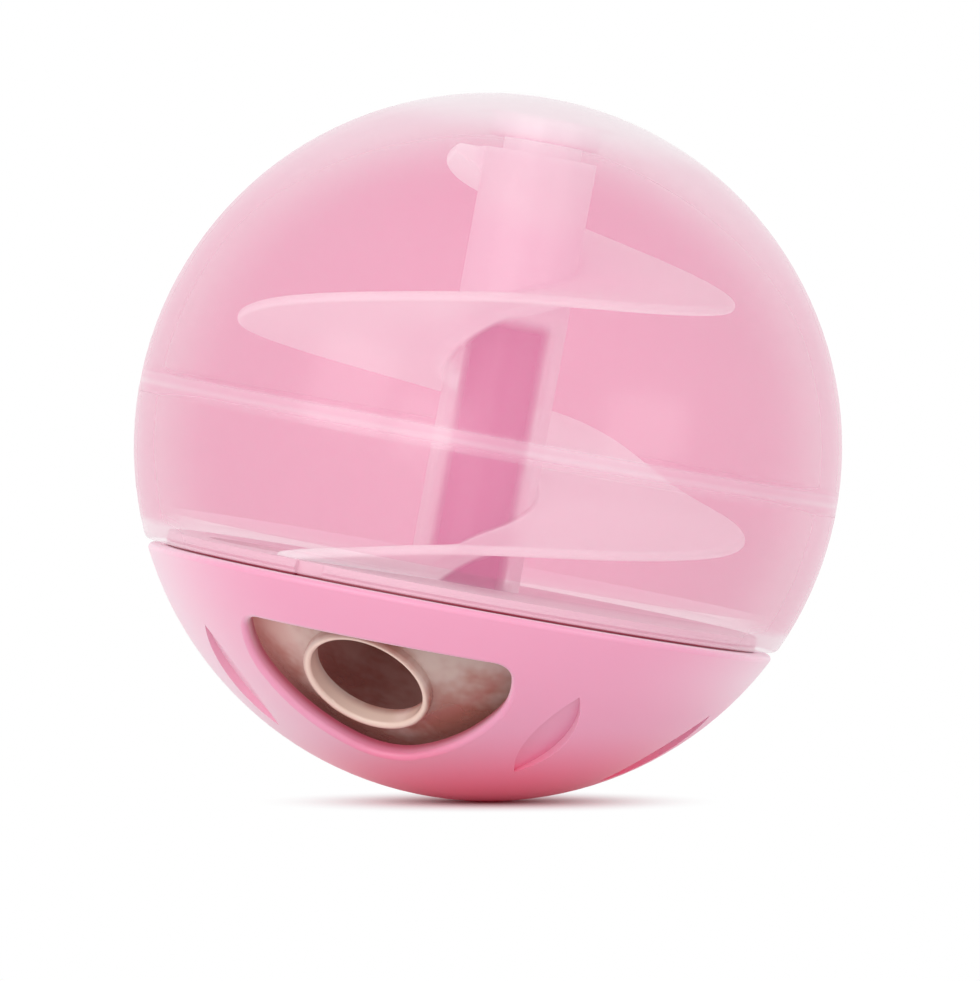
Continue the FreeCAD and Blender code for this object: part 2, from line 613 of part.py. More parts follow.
def draw_window(sketch):
    """A half moon: arcs that run into each other below, and above them a level line on the ball.

    Returns how far the outline reaches from the sketch's origin.
    """
    foot, flank, shoulder = (cell(f"window_{part}_radius") for part in ("foot", "flank", "shoulder"))
    foot_middle = Vector(0, cell("window_foot_rise"), 0)
    shoulder_middle = Vector(cell("window_shoulder_middle"), cell("window_shoulder_rise"), 0)
    between = shoulder_middle - foot_middle
    to_shoulder, to_foot = flank - shoulder, flank - foot
    share = (to_foot ** 2 - to_shoulder ** 2 + between.Length ** 2) / (2 * between.Length)
    aside = math.sqrt(to_foot ** 2 - share ** 2)
    along_line = between.normalize()
    flank_middle = foot_middle + along_line * share + Vector(-along_line.y, along_line.x, 0) * aside

    def heading(start, end):
        return math.atan2(end.y - start.y, end.x - start.x)

    low, high = heading(flank_middle, foot_middle), heading(flank_middle, shoulder_middle)
    tilt = math.radians(-cell("window_latitude"))
    level = math.sqrt(cell("ball_radius") ** 2 - cell("window_top_drop") ** 2)
    curve = level / math.sin(tilt)
    top_middle = Vector(0, level * math.sin(tilt) - cell("window_top_drop") * math.cos(tilt) - curve, 0)
    apart = top_middle.sub(shoulder_middle)
    share = (shoulder ** 2 - curve ** 2 + apart.Length ** 2) / (2 * apart.Length)
    aside = math.sqrt(shoulder ** 2 - share ** 2)
    apart.normalize()
    corner = shoulder_middle + apart * share + Vector(-apart.y, apart.x, 0) * aside
    end = heading(shoulder_middle, corner)
    turn = heading(top_middle, corner)

    arcs = [
        (foot_middle, foot, math.pi - low, low),
        (flank_middle, flank, low, high),
        (shoulder_middle, shoulder, high, end),
        (top_middle, curve, turn, math.pi - turn),
        (mirrored(shoulder_middle), shoulder, math.pi - end, math.pi - high),
        (mirrored(flank_middle), flank, math.pi - high, math.pi - low),
    ]
    for middle, radius, first, last in arcs:
        first, last = (first + 2 * math.pi) % (2 * math.pi), (last + 2 * math.pi) % (2 * math.pi)
        circle = Part.Circle(middle, Vector(0, 0, 1), radius)
        sketch.addGeometry(Part.ArcOfCircle(circle, first, last if last > first else last + 2 * math.pi), False)

    for i in (0, 1, 4, 5):
        sketch.addConstraint(Sketcher.Constraint("Tangent", i, 2, (i + 1) % 6, 1))
    for i in (2, 3):
        sketch.addConstraint(Sketcher.Constraint("Coincident", i, 2, i + 1, 1))
    for i in (0, 3):
        sketch.addConstraint(Sketcher.Constraint("PointOnObject", i, 3, -2))
    sketch.addConstraint(Sketcher.Constraint("Symmetric", 2, 3, 4, 3, -2))
    sketch.addConstraint(Sketcher.Constraint("Equal", 2, 4))
    sketch.addConstraint(Sketcher.Constraint("Equal", 1, 5))
    bind(sketch, Sketcher.Constraint("Radius", 0, foot), "window_foot_radius")
    bind(sketch, Sketcher.Constraint("Radius", 1, flank), "window_flank_radius")
    bind(sketch, Sketcher.Constraint("Radius", 2, shoulder), "window_shoulder_radius")
    bind(sketch, Sketcher.Constraint("DistanceY", 0, 3, foot_middle.y), "window_foot_rise")
    bind(sketch, Sketcher.Constraint("DistanceX", 2, 3, shoulder_middle.x), "window_shoulder_middle")
    bind(sketch, Sketcher.Constraint("DistanceY", 2, 3, shoulder_middle.y), "window_shoulder_rise")
    sketch.addConstraint(Sketcher.Constraint("Radius", 3, curve))
    sketch.addConstraint(Sketcher.Constraint("DistanceY", 3, 3, top_middle.y))
    return corner.Length


def mirrored(point):
    return Vector(-point.x, point.y, 0)


def along(stations, angle):
    """The value of a station list at a ramp angle, straight between stations and eased at each."""
    def straight(place):
        for (first, start), (last, stop) in zip(stations, stations[1:]):
            if place >= last or last == stations[-1][0]:
                return start + (stop - start) * (place - first) / (last - first)
    blend = cell("ramp_blend_angle")
    steps = range(-4, 5)
    return sum(straight(angle + blend * step / 4) for step in steps) / len(steps)


def ramp_stations():
    """Height and edge radius of the ramp at the angles where its slope changes."""
    heights = [
        (cell("ramp_start_angle"), cell("ramp_start_height")),
        (90, cell("ramp_back_height")),
        (0, cell("ramp_right_height")),
        (-90, cell("ramp_front_height")),
        (-180, cell("ramp_left_height")),
        (cell("landing_angle"), cell("landing_height")),
        (cell("chute_angle"), cell("chute_height")),
        (-360, cell("ramp_low_right_height")),
        (-450, cell("ramp_low_front_height")),
        (cell("ramp_foot_angle"), cell("ramp_foot")),
    ]
    radii = [
        (cell("ramp_start_angle"), cell("ramp_start_radius")),
        (90, cell("ramp_back_radius")),
        (0, cell("ramp_right_radius")),
        (-90, cell("ramp_front_radius")),
        (cell("ramp_full_angle"), cell("ramp_radius")),
        (cell("ramp_foot_angle"), cell("ramp_radius")),
    ]
    return heights, radii


def ramp_section(angle, height, edge):
    """The ramp's upright section at one angle, from inside the column's wall to its rounded edge."""
    thickness, root = cell("ramp_thickness"), cell("ramp_root_thickness")
    top, under = cell("ramp_top_fillet"), cell("ramp_under_fillet")
    sunk = cell("column_radius") - cell("ramp_sink")
    inside = (cell("column_radius") + cell("column_bore_radius")) / 2
    half = thickness / 2
    bend = 1 - math.sqrt(0.5)
    points = {
        "upper_inside": (inside, top),
        "upper_column": (sunk, top),
        "upper_bend": (sunk + top * bend, top * bend),
        "upper_blade": (sunk + top, 0),
        "edge_top": (edge - half, 0),
        "edge": (edge, -half),
        "edge_under": (edge - half, -thickness),
        "under_blade": (sunk + under, -root),
        "under_bend": (sunk + under * bend, -root - under * bend),
        "under_column": (sunk, -root - under),
        "under_inside": (inside, -root - under),
    }
    turn = math.radians(angle)
    at = {name: Vector(r * math.cos(turn), r * math.sin(turn), height + z) for name, (r, z) in points.items()}
    return Part.Wire([
        Part.LineSegment(at["upper_inside"], at["upper_column"]).toShape(),
        Part.Arc(at["upper_column"], at["upper_bend"], at["upper_blade"]).toShape(),
        Part.LineSegment(at["upper_blade"], at["edge_top"]).toShape(),
        Part.Arc(at["edge_top"], at["edge"], at["edge_under"]).toShape(),
        Part.LineSegment(at["edge_under"], at["under_blade"]).toShape(),
        Part.Arc(at["under_blade"], at["under_bend"], at["under_column"]).toShape(),
        Part.LineSegment(at["under_column"], at["under_inside"]).toShape(),
        Part.LineSegment(at["under_inside"], at["upper_inside"]).toShape(),
    ])


def make_blade():
    """The ramp by itself: a loft through upright sections from the nose to the foot."""
    heights, radii = ramp_stations()
    start, end = cell("ramp_start_angle"), cell("ramp_foot_angle")
    count = round((start - end) / 15)
    sections = []
    for step in range(count + 1):
        angle = start + (end - start) * step / count
        sections.append(ramp_section(angle, along(heights, angle), along(radii, angle)))
    blade = doc.addObject("Part::Feature", "RampBlade")
    blade.Shape = Part.makeLoft(sections, True, False)
    return blade


def make_spiral():
    """Column and ramp in one piece, standing on the tray and reaching up into the dome."""
    column = new_body("Column")
    sketch = new_sketch(column, "ColumnOutline", "XZ_Plane")
    outline(sketch, [
        ("column_bore_radius", "floor_top", None),
        ("column_radius", "floor_top", None),
        ("column_radius", "column_top", None),
        ("tenon_radius", "column_top", None),
        ("tenon_radius", "tenon_top", None),
        ("axis", "tenon_top", None),
        ("axis", "column_bore_top", None),
        ("column_bore_radius", "column_bore_top", None),
    ])
    post = turned(column, "ColumnPost", sketch)
    bore_end = level_circle(cell("column_bore_radius"), cell("column_bore_top"))
    hollow = rounded(column, "BoreEnd", post, bore_end, "column_bore_corner")
    tip = level_circle(cell("tenon_radius"), cell("tenon_top"))
    rounded(column, "TenonTip", hollow, tip, "tenon_chamfer", "PartDesign::Chamfer")

    blade = make_blade()
    space = doc.addObject("Part::Cylinder", "RampSpace")
    space.setExpression("Radius", "Sizes.ball_radius")
    space.setExpression("Height", "Derived.column_top - Derived.floor_top")
    space.setExpression("Placement.Base.z", ref("floor_top"))
    trimmed = doc.addObject("Part::Common", "RampTrimmed")
    trimmed.Base = blade
    trimmed.Tool = space
    spiral = doc.addObject("Part::MultiFuse", "SpiralRamp")
    spiral.Shapes = [column, trimmed]
    spiral.Refine = False
    spiral.Label = "spiral_ramp"
    doc.recompute()
    return spiral


def check(part):
    """Stop if a piece isn't one valid closed solid."""
    shape = part.Shape
    if shape.isNull() or not shape.isValid() or len(shape.Solids) != 1:
        raise RuntimeError(f"{part.Label}: solids {len(shape.Solids)}, valid {shape.isValid()}")


pieces = [make_dome(), make_belt(), make_spiral(), make_tray(), make_bowl(), make_lower_shell()]
doc.recompute()
for item in doc.Objects:
    if "Invalid" in item.State or "Error" in item.State:
        raise RuntimeError(f"{item.Label} has failed: {item.State}")

os.makedirs("parts", exist_ok=True)
for piece in pieces:
    check(piece)
    piece.Shape.exportStep(f"parts/{piece.Label}.step")
    box = piece.Shape.BoundBox
    print(f"{piece.Label}: volume {piece.Shape.Volume:.1f} mm3, z {box.ZMin:.2f} to {box.ZMax:.2f} mm")
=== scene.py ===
# %% [markdown]
# # A treat ball
#
# The real object is a hollow plastic ball, 90 mm across, that a cat rolls about. What it is filled with
# goes in under the tinted dome, slides down a pale spiral ramp, drops through the floor into a clear cup
# and leaves by a round hole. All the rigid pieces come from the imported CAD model, so this lesson is about
# what makes them look like moulded plastic: five finishes, soft light and a long lens.

import math

import bpy
from mathutils import Matrix, Vector


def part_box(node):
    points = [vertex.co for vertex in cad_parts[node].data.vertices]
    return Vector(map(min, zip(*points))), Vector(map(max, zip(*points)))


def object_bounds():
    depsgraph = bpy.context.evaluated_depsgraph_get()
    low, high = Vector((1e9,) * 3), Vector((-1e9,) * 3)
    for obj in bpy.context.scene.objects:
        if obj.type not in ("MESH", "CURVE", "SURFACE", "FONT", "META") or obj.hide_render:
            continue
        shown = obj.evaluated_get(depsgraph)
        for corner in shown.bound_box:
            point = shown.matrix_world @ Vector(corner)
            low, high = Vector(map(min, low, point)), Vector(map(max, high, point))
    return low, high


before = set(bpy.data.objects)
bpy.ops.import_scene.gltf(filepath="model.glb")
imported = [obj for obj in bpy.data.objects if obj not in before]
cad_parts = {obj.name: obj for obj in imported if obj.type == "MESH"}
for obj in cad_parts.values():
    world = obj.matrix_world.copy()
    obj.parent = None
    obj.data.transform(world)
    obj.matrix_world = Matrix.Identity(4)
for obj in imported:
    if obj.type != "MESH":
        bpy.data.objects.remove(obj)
model_low, model_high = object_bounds()
bpy.ops.object.select_all(action="DESELECT")
for name, piece in sorted(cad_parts.items()):
    print(name, len(piece.data.polygons), "triangles")

# %% [markdown]
# ## Places that the finishes follow
#
# A finish changes from place to place: it is paler at a welded joint, and deeper in a seam, where shade is
# painted into the colour. Those places are read from the model's boxes where a box gives them, and
# otherwise written down, in metres. Heights are counted from the ball's centre. Each change is eased over a
# short way, because moulded plastic has no hard borders inside.

# %% Places in the model
BALL_RADIUS = model_high.z
JOINT_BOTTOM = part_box("dome")[0].z
JOINT_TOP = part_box("belt")[1].z
BELT_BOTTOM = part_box("belt")[0].z
SHELL_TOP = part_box("lower_shell")[1].z
CUP_RADIUS = -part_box("selector_bowl")[0].z
SOCKET_BOTTOM = 0.0392
COLUMN_RADIUS = 0.00715
BORE_RADIUS = 0.0052
BORE_TOP = 0.0170
OUTLET_RADIUS = 0.0075
WINDOW_REACH = 0.0190
OUTLET_AZIMUTH = math.radians(-20.8)
OUTLET_LATITUDE = math.radians(-49.0)
LEAN = math.radians(10.4)
print("ball", round(BALL_RADIUS * 2000), "mm, joint", round((JOINT_TOP - JOINT_BOTTOM) * 1000, 2), "mm")
print("open seam", round((BELT_BOTTOM - SHELL_TOP) * 1000, 2), "mm")

# %% [markdown]
# ## Shader maths as plain expressions
#
# A material in Blender is a graph of nodes. Wiring every multiplication by hand hides the idea behind it,
# so a small class wraps a socket and lets Python's own operators add the Math nodes. Everything else,
# such as a noise or a shader, comes from one method that takes the node's type, its settings and what
# goes into its sockets.

# %% Number
class Number:
    """A socket that carries one number. Python's operators on it add Math nodes."""

    def __init__(self, finish, socket):
        self.finish = finish
        self.socket = socket

    def __add__(self, other):
        return self.finish.math("ADD", self, other)

    def __mul__(self, other):
        return self.finish.math("MULTIPLY", self, other)

    def __sub__(self, other):
        return self.finish.math("SUBTRACT", self, other)

    def __rsub__(self, other):
        return self.finish.math("SUBTRACT", other, self)

    def __truediv__(self, other):
        return self.finish.math("DIVIDE", self, other)

    def __pow__(self, other):
        return self.finish.math("POWER", self, other)

    __radd__ = __add__
    __rmul__ = __mul__

    def highest(self, other):
        """The larger of two numbers."""
        return self.finish.math("MAXIMUM", self, other)

    def between(self, low, high):
        """0 below low, 1 above high and an eased step from one to the other."""
        settings = {"interpolation_type": "SMOOTHSTEP"}
        sockets = {"Value": self, "From Min": low, "From Max": high}
        node = self.finish.add("ShaderNodeMapRange", settings, sockets)
        return Number(self.finish, node.outputs["Result"])

    def band(self, start, full, fading, end):
        """0 up to start, 1 from full to fading, 0 again past end, and eased steps between them."""
        return self.between(start, full) * (1 - self.between(fading, end))


# %% [markdown]
# The sockets of a Mix node come in one set for each kind of data, and sets share their names, so the
# ones for colour are called by their numbers. A world's nodes work like a material's, so the same class
# fills both.

# %% Finish
MIX_AMOUNT, MIX_FIRST, MIX_SECOND, MIX_RESULT = 0, 6, 7, 2


class Finish:
    """The nodes of a new material or world, and the means to add to them."""

    def __init__(self, owner):
        self.owner = owner
        self.owner.use_nodes = True
        self.tree = self.owner.node_tree
        self.tree.nodes.clear()

    def add(self, kind, settings=None, sockets=None):
        """A new node. Its settings come first, then each socket gets a value or a link."""
        node = self.tree.nodes.new(kind)
        for setting, value in (settings or {}).items():
            setattr(node, setting, value)
        for socket, value in (sockets or {}).items():
            value = value.socket if isinstance(value, Number) else value
            if isinstance(value, bpy.types.NodeSocket):
                self.tree.links.new(value, node.inputs[socket])
            else:
                node.inputs[socket].default_value = value
        return node

    def math(self, operation, *values):
        node = self.add("ShaderNodeMath", {"operation": operation}, dict(enumerate(values)))
        return Number(self, node.outputs[0])

    def coordinates(self, kind):
        """The X, Y and Z of one kind of texture coordinates."""
        vector = self.add("ShaderNodeTexCoord").outputs[kind]
        parts = self.add("ShaderNodeSeparateXYZ", sockets={"Vector": vector})
        return [Number(self, parts.outputs[axis]) for axis in "XYZ"]

    def place(self):
        """Where a point of the piece lies, in metres from the ball's centre."""
        return self.coordinates("Object")

    def normal(self):
        """The way a face looks. Z is 1 where it looks straight up and -1 where it looks straight down."""
        return self.coordinates("Normal")

    def noise(self, scale, detail=3.0, roughness=0.5):
        """Cloudy variation round 0.5. Scale is in features per metre."""
        where = self.add("ShaderNodeTexCoord").outputs["Object"]
        sockets = {"Vector": where, "Scale": scale, "Detail": detail, "Roughness": roughness}
        return Number(self, self.add("ShaderNodeTexNoise", sockets=sockets).outputs["Fac"])

    def facing(self):
        """0 where the surface is seen square on, 1 where it is seen edge on, from either side."""
        node = self.add("ShaderNodeLayerWeight", sockets={"Blend": 0.5})
        return Number(self, node.outputs["Facing"])

    def seen(self):
        """1 where the camera sees, straight, in gloss or through clear plastic, and 0 for other light."""
        ray = self.add("ShaderNodeLightPath").outputs
        kinds = ("Is Camera Ray", "Is Glossy Ray", "Is Transmission Ray")
        straight, in_gloss, through = (Number(self, ray[kind]) for kind in kinds)
        return straight.highest(in_gloss).highest(through)

    def blend(self, amount, first, second):
        """A colour between two colours."""
        settings = {"data_type": "RGBA", "clamp_factor": True}
        sockets = {MIX_AMOUNT: amount, MIX_FIRST: first, MIX_SECOND: second}
        return self.add("ShaderNodeMix", settings, sockets).outputs[MIX_RESULT]

    def bump(self, height, strength, distance):
        """Small relief. Distance is its height in metres."""
        sockets = {"Height": height, "Strength": strength, "Distance": distance}
        return self.add("ShaderNodeBump", sockets=sockets).outputs["Normal"]

    def plastic(self, **sockets):
        """The Principled shader, with its sockets named in Python's way."""
        named = {name.replace("_", " ").title(): value for name, value in sockets.items()}
        return self.add("ShaderNodeBsdfPrincipled", sockets=named).outputs["BSDF"]

    def mix(self, amount, first, second):
        """A shader between two shaders."""
        return self.add("ShaderNodeMixShader", sockets={0: amount, 1: first, 2: second}).outputs["Shader"]

    def end(self, shader, output="ShaderNodeOutputMaterial"):
        """The finished material or world."""
        self.add(output, sockets={"Surface": shader})
        print(self.owner.name, "has", len(self.tree.nodes), "nodes")
        return self.owner


# %% [markdown]
# Colours are written as a screen shows them, from 0 to 255, and turned into the linear light that a
# shader works in by the curve of the sRGB standard. Two small functions give distances, from numbers as
# well as from sockets.

# %% Colours, distances and dressing
def colour(red, green, blue):
    """A screen colour from 0 to 255, as the linear colour that a shader takes."""
    def linear(level):
        level = level / 255
        return level / 12.92 if level <= 0.04045 else ((level + 0.055) / 1.055) ** 2.4
    return (linear(red), linear(green), linear(blue), 1.0)


def dot(first, second):
    """The dot product of two directions or places."""
    return sum(one * other for one, other in zip(first, second))


def length(parts):
    """The length of a line with these parts along the axes."""
    return dot(parts, parts) ** 0.5


def dress(material, *names):
    """Give nodes of the model a material."""
    for name in names:
        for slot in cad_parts[name].material_slots:
            slot.material = material
        print(name, "wears", material.name)


WHITE = colour(255, 255, 255)
BLACK = colour(0, 0, 0)

# %% [markdown]
# ## Tinted dome and belt
#
# The upper half is clear plastic with a milky pink tint, about 2 mm thick. Real glass shaders bend and
# block the lamps' light, so what is inside would turn dark and noisy. Each face of the wall is instead a
# thin veil: part of it shows pink plastic and the rest lets everything through. A view through the whole
# ball crosses four veils and looks strongly pink, and the ramp lies behind two and looks paler.
#
# The halves overlap at the equator, and a view there crosses twice as many faces. Real plastic that is
# welded looks no darker, so the faces inside the joint are pale and thin, and the lap shows as a soft
# milky band on the outer face, with two crests of painted highlight where the edges of the two halves catch
# the light.

# %% Where a point of the shell lies
tinted = Finish(bpy.data.materials.new("tinted_shell"))
x, y, z = tinted.place()
from_centre = length((x, y, z))
from_axis = length((x, y))
outer_face = from_centre.between(BALL_RADIUS - 0.0007, BALL_RADIUS - 0.0003)
joint_face = from_centre.between(BALL_RADIUS - 0.0016, BALL_RADIUS - 0.0012) * (1 - outer_face)
crown = z.between(0.020, 0.044)
rim_band = 1 - z.between(BELT_BOTTOM + 0.00195, BELT_BOTTOM + 0.00315)
cap = 1 - from_axis.between(COLUMN_RADIUS + 0.00035, COLUMN_RADIUS + 0.00285)
cap = cap * z.between(SOCKET_BOTTOM - 0.0010, SOCKET_BOTTOM + 0.0008)
lap = z.band(JOINT_BOTTOM - 0.00045, JOINT_BOTTOM + 0.00125, JOINT_TOP - 0.0007, JOINT_TOP + 0.0008)
lap = lap * outer_face
painted_lap_highlights = z.band(0.0001, 0.0006, 0.0006, 0.0012) + z.band(0.0014, 0.0018, 0.0018, 0.0024)
edge_on = tinted.facing()

# %% [markdown]
# The ball has a painted sheen towards its outline, strongest round the top: its colour is blended towards
# white there. The outer face carries it, with a veil that thickens as it turns edge on and a colour painted
# paler, while the inner face fades there, so that its own outline doesn't draw a hard ring. The socket
# under the pole and the thick bottom edge of the belt are painted paler than the wall, as painted
# highlights for light in thick clear plastic.

# %% Veil and tint
VEIL = 0.27
haze = tinted.noise(14.0, 2.0) - 0.5
# Painted sheen: the colour is blended towards white towards the outline, round the top and over the pole.
painted_side_sheen = edge_on.between(0.30, 0.95) * (0.36 - crown * 0.12)
painted_crown_sheen = edge_on.between(0.28, 0.56) * crown * 0.46
painted_pole_sheen = z.between(SOCKET_BOTTOM - 0.0010, SOCKET_BOTTOM + 0.0033) * 0.27
painted_sheen = outer_face * (painted_side_sheen + painted_crown_sheen + painted_pole_sheen)
outer_veil = VEIL + edge_on.between(0.35, 1.0) * 0.5 + crown * 0.06 + haze * 0.03
inner_veil = VEIL * (1 - edge_on.between(0.40, 0.85)) * (1 - rim_band * 0.8) * (1 - joint_face * 0.7)
veil = outer_face * outer_veil + (1 - outer_face) * (inner_veil + cap * 0.5) + lap * 0.17
pink_tint = tinted.blend(haze + 0.5, colour(226, 100, 153), colour(230, 108, 159))
# Painted light: the sheen, the crests of the lap, the socket and the belt's bottom edge are painted paler;
# the lap's milky band and the faces inside the joint are pale plastic.
paleness_and_sheen = painted_sheen.highest(lap * (0.38 + painted_lap_highlights * 0.16)).highest(cap * 0.9)
paleness_and_sheen = paleness_and_sheen + rim_band * 0.45 + joint_face * 0.9
tint = tinted.blend(paleness_and_sheen, pink_tint, colour(244, 230, 236))

# %% [markdown]
# Faint streaks in the gloss and a very shallow ripple are what a mould leaves on clear plastic. A wall
# this thin holds back hardly any light, so the shell casts no shadow and no pink on what is inside it.

# %% Tinted shell
streaks = tinted.noise(90.0, 4.0, 0.6)
shell_plastic = tinted.plastic(
    base_color=tint,
    roughness=0.2 + streaks * 0.1,
    alpha=veil,
    normal=tinted.bump(tinted.noise(420.0), strength=0.12, distance=0.00002),
    coat_weight=0.4,
    coat_roughness=0.12,
)
dress(tinted.end(shell_plastic), "dome", "belt")
for name in ("dome", "belt"):
    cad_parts[name].visible_shadow = False
    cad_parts[name].visible_diffuse = False

# %% [markdown]
# ## Pale ramp and column
#
# The column and its ramp are one moulding in a nearly white, faintly pink plastic. The lower part of the
# column is a hollow tube with a clearer wall, through which its bore shows as a deeper pink stripe, painted
# shade inside the tube.
# The root of the ramp and the column above its bore are painted a little pinker than its wide faces, as
# painted shade.

# %% Where a point of the ramp lies
pale = Finish(bpy.data.materials.new("pale_moulding"))
x, y, z = pale.place()
from_axis = length((x, y))
edge_on = pale.facing()
hollow = 1 - z.between(BORE_TOP - 0.0020, BORE_TOP + 0.0008)
bore = (1 - from_axis.between(BORE_RADIUS + 0.0001, BORE_RADIUS + 0.0006)) * hollow
tube = (1 - from_axis.between(COLUMN_RADIUS + 0.00005, COLUMN_RADIUS + 0.00065)) * hollow - bore
post = (1 - from_axis.between(COLUMN_RADIUS + 0.00005, COLUMN_RADIUS + 0.00135)) * z.between(0.015, 0.022)
root = (1 - from_axis.between(0.0090, 0.0230)) * z.band(0.004, 0.012, 0.026, 0.032)
column_top = z.between(0.0345, 0.0370)
underside = 1 - pale.normal()[2].between(-0.8, 0.2)

# %% [markdown]
# The moulding stands in a ball that scatters light into it from all round. A little subsurface scattering
# softens its shade, and an emission adds a painted glow that lifts it, brighter and cooler on the
# undersides, as painted light in place of the light that reaches them through the plastic from the ramp's
# upper face.

# %% Pale moulding
cloud = pale.noise(60.0)
milk = pale.blend(cloud, colour(226, 223, 224), colour(232, 229, 230))
# Painted shade: the root of the ramp and the column above its bore are painted pinker.
painted_shade = root * (1 - tube) * 0.4 + post * 0.3 + column_top * 0.2
milk = pale.blend(painted_shade, milk, colour(226, 194, 208))
# Painted glow: an emission that lifts the whole moulding, brighter and cooler on its undersides.
painted_glow = pale.blend(underside, colour(152, 150, 151), colour(206, 222, 218))
ramp_plastic = pale.plastic(
    # Painted shade: the bore is painted deep pink, with a darker emission.
    base_color=pale.blend(bore * (1 - edge_on.between(0.35, 0.85) * 0.6), milk, colour(194, 90, 142)),
    roughness=0.32 + cloud * 0.1,
    alpha=0.9 - tube * (0.67 - edge_on.between(0.15, 0.60) * 0.42),
    normal=pale.bump(pale.noise(500.0, 2.0), strength=0.15, distance=0.00002),
    subsurface_weight=0.2,
    subsurface_radius=(1.0, 0.7, 0.75),
    subsurface_scale=0.002,
    emission_color=pale.blend(bore, painted_glow, colour(82, 26, 53)),
    emission_strength=0.45,
)
dress(pale.end(ramp_plastic), "spiral_ramp")

# %% [markdown]
# ## Floor of the chamber
#
# The tray under the ramp is the same family of plastic, a little pinker and clearer. Its edge and its
# upper face show through the belt, and its shoulder, in the open seam, is painted deep pink and opaque, as
# painted shade.

# %% Floor moulding
chamber_floor = Finish(bpy.data.materials.new("floor_moulding"))
height = chamber_floor.place()[2]
smear = chamber_floor.noise(45.0)
# Painted shade: the shoulder in the open seam is painted deep pink and opaque.
painted_seam_shade = 1 - height.between(BELT_BOTTOM - 0.00015, BELT_BOTTOM + 0.00015)
floor_colour = chamber_floor.blend(smear, colour(244, 196, 212), colour(248, 208, 221))
floor_plastic = chamber_floor.plastic(
    base_color=chamber_floor.blend(painted_seam_shade, floor_colour, colour(138, 26, 54)),
    roughness=0.3 + smear * 0.15,
    alpha=0.84 + painted_seam_shade * 0.16,
    normal=chamber_floor.bump(chamber_floor.noise(300.0), strength=0.2, distance=0.00003),
)
dress(chamber_floor.end(floor_plastic), "tray")

# %% [markdown]
# ## Clear cup
#
# The cup in the window is clear plastic with a smoky cast. Its rim round the outlet is thicker and less
# clear, and it is painted creamy white, a painted highlight for the light that gathers in a rounded clear
# edge. The rim is where a point lies near the line from the ball's centre through the middle of the hole,
# and far along it. The whole cup has a painted glow, an emission, and its left part glows most, as painted
# light where the light comes in past the window's edge.

# %% Line through the outlet
outlet_line = Vector((
    math.cos(OUTLET_LATITUDE) * math.sin(OUTLET_AZIMUTH),
    -math.cos(OUTLET_LATITUDE) * math.cos(OUTLET_AZIMUTH),
    math.sin(OUTLET_LATITUDE),
))


def from_outlet(place):
    """How far a place is from the line through the outlet, and how far along that line it lies."""
    along = dot(place, outlet_line)
    return (dot(place, place) - along * along) ** 0.5, along


print("outlet", [round(part * CUP_RADIUS * 1000, 1) for part in outlet_line], "mm")

# %% Clear cup
clear = Finish(bpy.data.materials.new("clear_cup"))
x, y, z = clear.place()
from_line, along_line = from_outlet((x, y, z))
# Partly real and partly painted: the thicker rim is less clear, and it is painted creamy white as a painted
# highlight.
lip = 1 - from_line.between(OUTLET_RADIUS + 0.0004, OUTLET_RADIUS + 0.0010)
lip = lip * along_line.between(CUP_RADIUS - 0.0026, CUP_RADIUS - 0.0010)
# Painted light: the left part of the cup has a brighter emission.
painted_light_left = 1 - x.between(-0.026, -0.014)
smoke = clear.noise(70.0, 4.0, 0.6)
cup_tint = clear.blend(smoke.between(0.38, 0.62), colour(176, 112, 98), colour(218, 200, 190))
cup_plastic = clear.plastic(
    base_color=clear.blend(lip, cup_tint, colour(240, 216, 200)),
    roughness=0.16 + smoke * 0.12,
    alpha=0.58 + smoke * 0.14 + lip * 0.3,
    emission_color=clear.blend(painted_light_left, colour(103, 70, 64), colour(226, 156, 150)),
    emission_strength=0.3,
    coat_weight=0.3,
    coat_roughness=0.1,
)
dress(clear.end(cup_plastic), "selector_bowl")

# %% [markdown]
# ## Pink lower shell
#
# The lower shell is opaque satin plastic. Close over the floor its colour is painted much deeper, as
# painted shade where it sees mostly its own reflected pink, with a faint painted glow of deep pink there
# too. The ball leans by about ten degrees, so that is measured along the floor's upright.
#
# A face is steep where its normal stands across the line to the ball's centre. The steep walls of the
# leaf recesses are painted a little paler, as painted light, and the inner edge of the window, in the gap
# before the cup, is painted deep pink, as painted shade. The distance from the line through the outlet
# tells the window from the recesses, as the window reaches 19 mm from it and the recesses begin beyond
# that.

# %% Where a point of the lower shell lies
pink = Finish(bpy.data.materials.new("pink_shell"))
x, y, z = pink.place()
from_centre = length((x, y, z))
over_floor = z * math.cos(LEAN) - x * math.sin(LEAN) + BALL_RADIUS
# Painted shade: the colour deepens towards the floor.
painted_floor_shade = 1 - over_floor.between(0.0005, 0.0110)
# Painted light: the sheen is stronger on the left, where the light comes from.
painted_light_side = 1 - x.between(-0.015, 0.015) * (1 - z.between(-0.030, -0.022)) * 0.85
steep = 1 - (dot(pink.normal(), (x, y, z)) / from_centre).between(0.20, 0.90)
steep = steep * (1 - z.between(SHELL_TOP - 0.0055, SHELL_TOP - 0.0035))
past_window = from_outlet((x, y, z))[0].between(WINDOW_REACH - 0.0002, WINDOW_REACH + 0.0003)
# Painted light: the steep walls of the leaf recesses are painted paler.
painted_leaf_light = steep * past_window * from_centre.between(BALL_RADIUS - 0.0025, BALL_RADIUS - 0.0015)
# Painted shade: the inner edge of the window is painted deep pink.
painted_window_shade = 1 - from_centre.between(BALL_RADIUS - 0.0021, BALL_RADIUS - 0.0008)
painted_window_shade = painted_window_shade * steep * (1 - past_window)

# %% [markdown]
# The sheen is a painted sheen in the colour, strongest at the left, where the light comes from, and fading
# towards the floor. Pigmented plastic of this kind glows a little where it is thin, so it gets some
# subsurface scattering, and its moulded skin has a fine grain.

